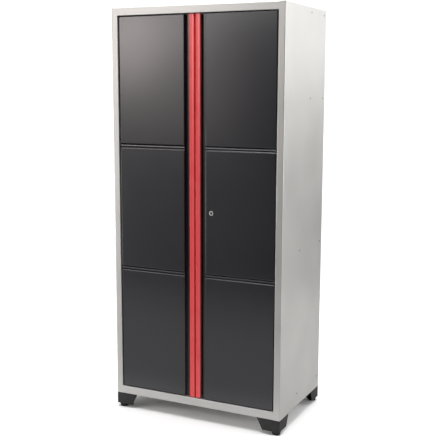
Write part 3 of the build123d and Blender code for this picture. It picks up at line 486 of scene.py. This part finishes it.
# Levelling pads: round moulded feet under the legs, one to a corner.
# Black nylon with a fine spark-eroded grain, moulded round the head of the stem.
pad_black = (0.009, 0.009, 0.010)
pad_grey = (0.022, 0.022, 0.023)
pad_roughness = (0.5, 0.65)
grain_size = 0.0012
grain_depth = 0.00008
pad_plastic, shader = new_finish("pad_plastic")
grain = cloud(pad_plastic, grain_size, detail=3)
tint(pad_plastic, grain, pad_black, pad_grey, shader)
roughen(pad_plastic, grain, pad_roughness, shader)
relief(pad_plastic, grain, grain_depth, shader)
wear(pad_plastic, *[f"{corner}_pad" for corner in corners])

# Levelling stems: threaded rods that screw each pad in and out of the boss in its leg.
# Zinc-plated steel with a rolled metric thread along the whole rod:
# one V of the thread is swept up a screw line, then cut off flat at both ends of the rod.
thread_pitch = 0.0015
thread_depth = 0.0009
thread_steps = 24
thread_angle = radians(30)
spare_turns = 3
stem_low, stem_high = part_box("front_left_stem")
stem_radius = (stem_high.x - stem_low.x) / 2
stem_length = stem_high.z - stem_low.z
bpy.ops.object.select_all(action="DESELECT")
bpy.ops.mesh.primitive_plane_add(size=thread_pitch)
stem_model = bpy.context.object
bpy.ops.object.mode_set(mode="EDIT")
bpy.ops.mesh.select_all(action="DESELECT")
bpy.ops.object.mode_set(mode="OBJECT")
stem_model.data.vertices[0].select = True
bpy.ops.object.mode_set(mode="EDIT")
bpy.ops.mesh.delete(type="VERT")
bpy.ops.object.mode_set(mode="OBJECT")
edge_ends = [index for edge in stem_model.data.edges for index in edge.vertices]
crest, *roots = sorted(stem_model.data.vertices, key=lambda vert: -edge_ends.count(vert.index))
crest.co = (stem_radius, 0, -thread_pitch / 2)
for root, level in zip(roots, (-thread_pitch, 0)):
    root.co = (stem_radius - thread_depth, 0, level)
bpy.ops.object.modifier_add(type="SCREW")
rolled = stem_model.modifiers[-1]
rolled.screw_offset = thread_pitch
rolled.iterations = int(stem_length / thread_pitch) + spare_turns
rolled.steps = thread_steps
rolled.render_steps = thread_steps
rolled.use_merge_vertices = True
rolled.merge_threshold = weld
bpy.ops.object.modifier_apply(modifier=rolled.name)
bpy.ops.object.mode_set(mode="EDIT")
for level, outward in ((0, -1), (stem_length, 1)):
    bpy.ops.mesh.select_all(action="SELECT")
    bpy.ops.mesh.bisect(
        plane_co=(0, 0, level), plane_no=(0, 0, outward), use_fill=True, clear_outer=True, threshold=weld
    )
bpy.ops.mesh.select_all(action="SELECT")
bpy.ops.mesh.remove_doubles(threshold=weld)
bpy.ops.mesh.normals_make_consistent(inside=False)
bpy.ops.object.mode_set(mode="OBJECT")
bpy.ops.object.shade_smooth_by_angle(angle=thread_angle)
for corner in corners:
    low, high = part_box(f"{corner}_stem")
    mesh = stem_model.data.copy()
    mesh.transform(Matrix.Translation(((low.x + high.x) / 2, (low.y + high.y) / 2, low.z)))
    stem = bpy.data.objects.new(f"{corner}_threaded_stem", mesh)
    bpy.context.collection.objects.link(stem)
    fit(stem, zinc_plate, "zinc_plate", f"{corner}_foot", f"{corner}_stem")
bpy.data.objects.remove(stem_model)

# Pivot pins: turned steel pins fixed in the head rail and the floor pan, on which the doors swing.
# Dull phosphated steel; the lower pins have a collar that carries the door.
wear(dull_steel_and_painted_shade, "pivot_pins")

# Pivot bushes: flanged plain bushes pressed into the top and bottom of each door.
# Moulded in black nylon with graphite, which runs dry on the steel pins.
wear(pad_plastic, "left_pivot_bushes", "right_pivot_bushes")

# Magnetic catches: moulded housings under the head rail that hold the doors shut.
# Black nylon with rounded edges, each with a magnet let into its face.
catch_edge = 0.0008
catches = softened("magnetic_catches", "catch_housings", catch_edge, steps=3)
fit(catches, pad_plastic, "pad_plastic", "cabinet", "magnetic_catches")

# Catch magnets: sintered ferrite bars in the catch housings, a hair proud of their faces.
# Ground on the face that meets the strike plate.
ferrite_dark = (0.028, 0.028, 0.029)
ferrite_light = (0.065, 0.062, 0.058)
ferrite_roughness = (0.42, 0.6)
sinter_size = 0.0006
sinter_depth = 0.00003
magnet_edge = 0.0004
magnet, shader = new_finish("magnet")
sinter = cloud(magnet, sinter_size, detail=4)
tint(magnet, sinter, ferrite_dark, ferrite_light, shader)
roughen(magnet, sinter, ferrite_roughness, shader)
relief(magnet, sinter, sinter_depth, shader)
fit(softened("catch_magnets", "ferrite_bars", magnet_edge), magnet, "magnet", "cabinet", "catch_magnets")

# Doors: three folded panels on a boxed pan, each lapped up behind the one above with a rib in the groove.
# The pan also forms the finger channel beside the pull strip.
# Steel sheet in a smooth charcoal powder coat with a satin gloss.
charcoal_dark = (0.0076, 0.0078, 0.0118)
charcoal_light = (0.0106, 0.0108, 0.0160)
charcoal_roughness = (0.22, 0.26)
charcoal_specular = 1.0
fleck_size = 0.0010
fleck_share = 0.5
charcoal_drift_size = 0.30
charcoal_peel_size = 0.005
charcoal_peel_depth = 0.00003
charcoal_coat, shader = new_finish("charcoal_coat")
shader.inputs["Specular IOR Level"].default_value = charcoal_specular
fleck = cloud(charcoal_coat, fleck_size, detail=3)
drift = cloud(charcoal_coat, charcoal_drift_size)
peel = cloud(charcoal_coat, charcoal_peel_size)
flecked = mingle(charcoal_coat, drift, fleck, fleck_share)
tint(charcoal_coat, flecked, charcoal_dark, charcoal_light, shader)
roughen(charcoal_coat, flecked, charcoal_roughness, shader)
relief(charcoal_coat, peel, charcoal_peel_depth, shader)
for hand in ("left", "right"):
    wear(charcoal_coat, *[f"{hand}_{level}_panel" for level in ("lower", "middle", "upper")])
    wear(charcoal_coat, f"{hand}_door_pan")

# Pull strips: full-height hooked extrusions along the meeting edges of the doors.
# Aluminium in a red powder coat, with faint die lines along their length.
red_dark = (0.955, 0.077, 0.082)
red_light = (1.0, 0.087, 0.093)
red_roughness = (0.26, 0.30)
red_specular = 0.8
red_drift_size = 0.15
die_line_width = 0.0012
die_line_stretch = (1, 1, 200)
die_line_depth = 0.000006
die_line_share = 0.4
red_coat, shader = new_finish("red_coat")
shader.inputs["Specular IOR Level"].default_value = red_specular
drift = cloud(red_coat, red_drift_size)
die_lines = cloud(red_coat, die_line_width, stretch=die_line_stretch)
lined = mingle(red_coat, drift, die_lines, die_line_share)
tint(red_coat, lined, red_dark, red_light, shader)
roughen(red_coat, lined, red_roughness, shader)
relief(red_coat, die_lines, die_line_depth, shader)
wear(red_coat, "left_pull", "right_pull")

# Pull screws: low pan-head screws sunk flush in the edge of each pull strip, six to a door.
# Zinc-plated steel with a cross recess, into the door pan.
pull_screw_radius = 0.002
pull_head_radius = 0.0038
pull_head_height = 0.002
for hand, side in (("left", -1), ("right", 1)):
    boxes = solid_boxes(f"{hand}_pull_screws")
    low, high = boxes[0]
    reach = high.x - low.x - pull_head_height
    places = []
    for low, high in boxes:
        face = low.x if side > 0 else high.x
        seat = Vector((face + side * pull_head_height, (low.y + high.y) / 2, (low.z + high.z) / 2))
        places.append(Matrix.Translation(seat) @ Matrix.Rotation(-side * radians(90), 4, "Y"))
    pull_screw = pan_screw("pull_screw", pull_screw_radius, reach, pull_head_radius, pull_head_height)
    pull_screws = set_out(pull_screw, f"{hand}_pan_pull_screws", places)
    fit(pull_screws, zinc_plate, "zinc_plate", f"{hand}_door", f"{hand}_pull_screws")

# Strike plates: flat steel plates on the backs of the doors, which the catch magnets hold.
# Zinc plated, with two spot-weld dimples each.
strike_edge = 0.0003
dimple_radius = 0.004
dimple_depth = 0.0004
dimple_shares = (0.12, 0.88)
for hand in ("left", "right"):
    strike = softened(f"{hand}_strike", f"{hand}_strike_plate", strike_edge)
    low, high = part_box(f"{hand}_strike")
    for share in dimple_shares:
        bpy.ops.object.select_all(action="DESELECT")
        across = low.x + share * (high.x - low.x)
        dent = (across, high.y + dimple_radius - dimple_depth, (low.z + high.z) / 2)
        bpy.ops.mesh.primitive_uv_sphere_add(
            segments=24, ring_count=24, radius=dimple_radius, location=dent
        )
        carve(strike, bpy.context.object)
    fit(strike, zinc_plate, "zinc_plate", f"{hand}_door", f"{hand}_strike")

# Lock barrel: a flanged tube through the right door, with a dished face round the key plug.
# Turned brass in satin nickel plate, held by the nut inside the door.
nickel_dark = (0.52, 0.515, 0.50)
nickel_light = (0.68, 0.675, 0.66)
nickel_roughness = (0.36, 0.46)
satin_size = 0.0007
satin_depth = 0.00002
lock_nickel, shader = new_finish("lock_nickel", metallic=1.0)
satin = cloud(lock_nickel, satin_size, detail=3)
tint(lock_nickel, satin, nickel_dark, nickel_light, shader)
roughen(lock_nickel, satin, nickel_roughness, shader)
relief(lock_nickel, satin, satin_depth, shader)
barrel_low, barrel_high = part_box("lock_barrel")
barrel_length = barrel_high.y - barrel_low.y
barrel_radius = 0.0095
barrel_chamfer = 0.0004
bore_radius = 0.0063
flange_radius = (barrel_high.x - barrel_low.x) / 2
flange_height = 0.002
flange_back = barrel_length - flange_height
rim_width = 0.0009
rim_drop = 0.0004
dish_radius = 0.0088
dish_depth = 0.0012
dish_lip = 0.0005
dish_lip_share = 0.4
lock_barrel = turned("dished_lock_barrel", 48, [
    (bore_radius, 0),
    (barrel_radius - barrel_chamfer, 0),
    (barrel_radius, barrel_chamfer),
    (barrel_radius, flange_back),
    (flange_radius, flange_back),
    (flange_radius, flange_back + flange_height / 2),
    (flange_radius - rim_width / 3, barrel_length - rim_drop),
    (flange_radius - rim_width, barrel_length),
    (dish_radius, barrel_length),
    (dish_radius - dish_lip, barrel_length - dish_lip_share * dish_depth),
    (bore_radius, barrel_length - dish_depth),
    (bore_radius, 0),
], bored=True)
lock_middle = (barrel_low + barrel_high) / 2
barrel_back = Vector((lock_middle.x, barrel_high.y, lock_middle.z))
lock_barrel.data.transform(Matrix.Translation(barrel_back) @ facing_front)
fit(lock_barrel, lock_nickel, "lock_nickel", "right_door", "lock_barrel")

# Key plug: the turning core of the lock, with a keyway across its face.
# Brass in a darker satin nickel, a little below the face of the barrel; much of its near-black colour is
# painted shade for the lock's recessed centre.
# Plug colours: near-black, partly painted shade that darkens the centre of the lock.
plug_painted_shade_dark = (0.075, 0.074, 0.072)
plug_painted_shade_light = (0.14, 0.138, 0.135)
plug_roughness = (0.42, 0.55)
rub_size = 0.0009
rub_stretch = (1, 1, 4)
plug_nickel_painted_shade, shader = new_finish("plug_nickel_painted_shade", metallic=1.0)
rubbed = cloud(plug_nickel_painted_shade, rub_size, detail=3, stretch=rub_stretch)
tint(plug_nickel_painted_shade, rubbed, plug_painted_shade_dark, plug_painted_shade_light, shader)
roughen(plug_nickel_painted_shade, rubbed, plug_roughness, shader)
plug_low, plug_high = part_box("lock_plug")
plug_radius = (plug_high.x - plug_low.x) / 2
plug_length = plug_high.y - plug_low.y
plug_sink = 0.0009
plug_edge = 0.0005
plug_edge_share = 0.3
plug_face = plug_length - plug_sink
lock_plug = turned("key_plug", 48, [
    (plug_radius, 0),
    (plug_radius, plug_face - plug_edge),
    (plug_radius - plug_edge_share * plug_edge, plug_face - plug_edge_share * plug_edge),
    (plug_radius - plug_edge, plug_face),
])
keyway_width = 0.0018
keyway_height = 0.008
keyway_depth = 0.012
keyway_edge = 0.0004
bpy.ops.object.select_all(action="DESELECT")
bpy.ops.mesh.primitive_cube_add(size=1, location=(0, 0, plug_length))
keyway = bpy.context.object
keyway.scale = (keyway_width, keyway_height, 2 * keyway_depth)
bpy.ops.object.transform_apply()
bpy.ops.object.modifier_add(type="BEVEL")
keyway.modifiers[-1].width = keyway_edge
bpy.ops.object.modifier_apply(modifier=keyway.modifiers[-1].name)
carve(lock_plug, keyway)
plug_back = Vector((lock_middle.x, plug_high.y, lock_middle.z))
lock_plug.data.transform(Matrix.Translation(plug_back) @ facing_front)
fit(lock_plug, plug_nickel_painted_shade, "lock_nickel", "lock", "lock_plug")

# Lock nut and cam: the hexagon nut that clamps the barrel, and the plate with two drive pins on the plug.
# Zinc-plated steel, blanked and tumbled.
blank_edge = 0.0004
fit(softened("lock_nut", "clamping_nut", blank_edge), zinc_plate, "zinc_plate", "right_door", "lock_nut")
fit(softened("lock_cam", "drive_cam", blank_edge), zinc_plate, "zinc_plate", "lock", "lock_cam")

# Locking bars: flat bars behind the right door, driven up and down by the cam pins in their forks.
# Drawn steel strip, zinc plated, with tapered tips.
bar_edge = 0.0004
for level in ("upper", "lower"):
    bar = softened(f"{level}_lock_bar", f"{level}_drawn_bar", bar_edge)
    fit(bar, zinc_plate, "zinc_plate", f"{level}_bar", f"{level}_lock_bar")

# Hand bolts: short flat bolts with a thumb knob behind the left door, one at each end.
# Drawn steel strip, zinc plated, with a turned knob riveted on,
# its rim cut with a ring of straight grooves for grip.
groove_count = 18
groove_radius = 0.0008
groove_sink = 0.0005
groove_length = 0.007
for level in ("top", "bottom"):
    bolt = softened(f"{level}_hand_bolt", f"{level}_thumb_bolt", bar_edge)
    face = max(vert.co.y for vert in bolt.data.vertices)
    rim = [vert.co for vert in bolt.data.vertices if vert.co.y > face - groove_length]
    left, right = (pick(place.x for place in rim) for pick in (min, max))
    below, above = (pick(place.z for place in rim) for pick in (min, max))
    knob_radius = (right - left) / 2
    knob = Matrix.Translation(((left + right) / 2, face, (below + above) / 2))
    out = Matrix.Translation((knob_radius + groove_radius - groove_sink, 0, 0)) @ facing_front
    turns = [Matrix.Rotation(2 * pi * i / groove_count, 4, "Y") for i in range(groove_count)]
    cutter = turned("cutter", 10, [(groove_radius, -groove_length), (groove_radius, groove_length)])
    carve(bolt, set_out(cutter, "cutters", [knob @ turn @ out for turn in turns]))
    fit(bolt, zinc_plate, "zinc_plate", f"{level}_bolt", f"{level}_hand_bolt")

# Bar and bolt guides: slotted blocks on the door backs that the bars and bolts run through.
# Moulded in natural nylon with rounded edges, through which a little light goes.
nylon_shade = (0.72, 0.71, 0.65)
nylon_light = (0.82, 0.81, 0.76)
nylon_roughness = (0.38, 0.5)
nylon_glow_share = 0.1
nylon_glow_reach = (0.002, 0.002, 0.0015)
mould_size = 0.006
mould_depth = 0.00004
guide_edge = 0.0008
nylon, shader = new_finish("nylon")
shader.inputs["Subsurface Weight"].default_value = nylon_glow_share
shader.inputs["Subsurface Radius"].default_value = nylon_glow_reach
mould = cloud(nylon, mould_size, detail=3)
tint(nylon, mould, nylon_shade, nylon_light, shader)
roughen(nylon, mould, nylon_roughness, shader)
relief(nylon, mould, mould_depth, shader)
for node, body in (("lock_bar_guides", "right_door"), ("hand_bolt_guides", "left_door")):
    fit(softened(node, f"moulded_{node}", guide_edge, steps=3), nylon, "nylon", body, node)

# Studio floor: a pale paper sweep, lit to white as on a product sheet.
# A stage, not a piece of the cabinet; what mirrors it sees it in a darker grey.
floor_reach = 2.6
paper_white = (1.36, 1.36, 1.36, 1)
paper_grey = (0.5, 0.5, 0.5, 1)
bpy.ops.object.select_all(action="DESELECT")
bpy.ops.mesh.primitive_plane_add(size=2 * floor_reach)
studio_floor = bpy.context.object
studio_floor.name = "studio_floor"
studio_floor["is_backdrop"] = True
floor_paper = bpy.data.materials.new("floor_paper")
floor_paper.use_nodes = True
nodes = floor_paper.node_tree.nodes
links = floor_paper.node_tree.links
nodes.clear()
ray = nodes.new("ShaderNodeLightPath")
seen = nodes.new("ShaderNodeBsdfDiffuse")
seen.inputs["Color"].default_value = paper_white
mirrored = nodes.new("ShaderNodeBsdfDiffuse")
mirrored.inputs["Color"].default_value = paper_grey
either = nodes.new("ShaderNodeMixShader")
paper = nodes.new("ShaderNodeOutputMaterial")
links.new(ray.outputs["Is Camera Ray"], either.inputs["Fac"])
links.new(mirrored.outputs["BSDF"], either.inputs[1])
links.new(seen.outputs["BSDF"], either.inputs[2])
links.new(either.outputs["Shader"], paper.inputs["Surface"])
studio_floor.data.materials.append(floor_paper)

# Soft boxes: flat light panels, most of them on a ring round the cabinet, facing its axis.
# A small warm key on the left, dim fill in front, broad panels on the right and behind, one on top,
# and a strip low in front for the light that bright paper throws up at the bottom rail.
ring_radius = 4.0
plain_light = (1.0, 1.0, 1.0)
warm_light = (1.07, 0.984, 0.952)
facing_down = (0, 0, 0)
facing_up = (radians(180), 0, 0)


def flat_box(name, place, turn, width, height, radiance, colour=plain_light):
    """A panel of even radiance that the camera doesn't see."""
    bpy.ops.object.light_add(type="AREA", location=place, rotation=turn)
    lamp = bpy.context.object
    lamp.name = name
    lamp.visible_camera = False
    lamp.data.color = colour
    lamp.data.shape = "RECTANGLE"
    lamp.data.size = width
    lamp.data.size_y = height
    lamp.data.energy = radiance * width * height * pi


def soft_box(name, turns, levels, radiance, colour=plain_light):
    """A panel on the ring, between two turns and two levels.

    Turns are in degrees, from the front round by the left, and levels are heights above the floor.
    """
    first, last = turns
    low, high = levels
    middle = radians((first + last) / 2)
    width = 2 * ring_radius * sin(radians((last - first) / 2))
    place = Vector((-sin(middle) * ring_radius, -cos(middle) * ring_radius, (low + high) / 2))
    flat_box(name, place, (radians(90), 0, -middle), width, high - low, radiance, colour)


soft_box("key", (32, 38), (2.0, 2.4), 7.6, warm_light)
soft_box("key_low", (32, 38), (1.7, 2.0), 4.6, warm_light)
soft_box("key_right", (26, 32), (2.0, 2.5), 2.5, warm_light)
soft_box("key_halo", (20, 48), (1.2, 2.9), 0.82, warm_light)
soft_box("key_top", (12, 30), (2.4, 2.9), 2.7)
soft_box("upper_left", (14, 48), (2.9, 5.0), 1.0)
soft_box("low_left_near", (14, 48), (0.02, 1.2), 0.2)
soft_box("low_left_wall", (48, 80), (0.02, 1.2), 5.9)
soft_box("right_side_low", (230, 275), (0.02, 1.6), 3.3)
soft_box("right_side_high", (230, 275), (1.6, 5.0), 2.1)
soft_box("rear_right", (204, 230), (1.6, 5.0), 1.7)
soft_box("rear_mid", (180, 204), (0.8, 3.0), 0.36)
soft_box("rear_high", (180, 204), (3.0, 5.0), 1.6)
soft_box("rear_left", (120, 180), (0.02, 5.0), 1.1)
flat_box("top_box", (0, -0.5, 4.5), facing_down, 3.0, 3.0, 6.2)
flat_box("paper_glow", (-0.2, -0.48, 0.004), facing_up, 1.5, 0.38, 0.34)

# Backdrop: white behind the cabinet as on a product sheet, and a dim even glow for everything else.
# A stage, not a piece of the cabinet; the picture is shown without any tone curve.
glow_strength = 0.08
white_strength = 1.2
white = (1, 1, 1, 1)
world = bpy.data.worlds.new("studio")
bpy.context.scene.world = world
world.use_nodes = True
nodes = world.node_tree.nodes
links = world.node_tree.links
nodes.clear()
ray = nodes.new("ShaderNodeLightPath")
glow = nodes.new("ShaderNodeBackground")
glow.inputs["Color"].default_value = white
glow.inputs["Strength"].default_value = glow_strength
seen = nodes.new("ShaderNodeBackground")
seen.inputs["Color"].default_value = white
seen.inputs["Strength"].default_value = white_strength
either = nodes.new("ShaderNodeMixShader")
sky = nodes.new("ShaderNodeOutputWorld")
links.new(ray.outputs["Is Camera Ray"], either.inputs["Fac"])
links.new(glow.outputs["Background"], either.inputs[1])
links.new(seen.outputs["Background"], either.inputs[2])
links.new(either.outputs["Shader"], sky.inputs["Surface"])
bpy.context.scene.view_settings.view_transform = "Standard"

# Camera: at eye height, a little right of the cabinet and turned left and down towards it.
# Its place, turn and lens give the photograph's view.
camera_place = (1.8592, -3.8530, 1.6476)
camera_turn = radians(25.731)
camera_dip = radians(8.825)
camera_roll = radians(0.199)
camera_lens = 68.714
sensor_width = 36.0
bpy.ops.object.camera_add(location=camera_place, rotation=(radians(90) - camera_dip, 0, camera_turn))
camera = bpy.context.object
camera.rotation_euler.rotate_axis("Z", camera_roll)
camera.data.lens = camera_lens
camera.data.sensor_width = sensor_width
bpy.context.scene.camera = camera

boxes = {"cad": cad_box, "visual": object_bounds()}
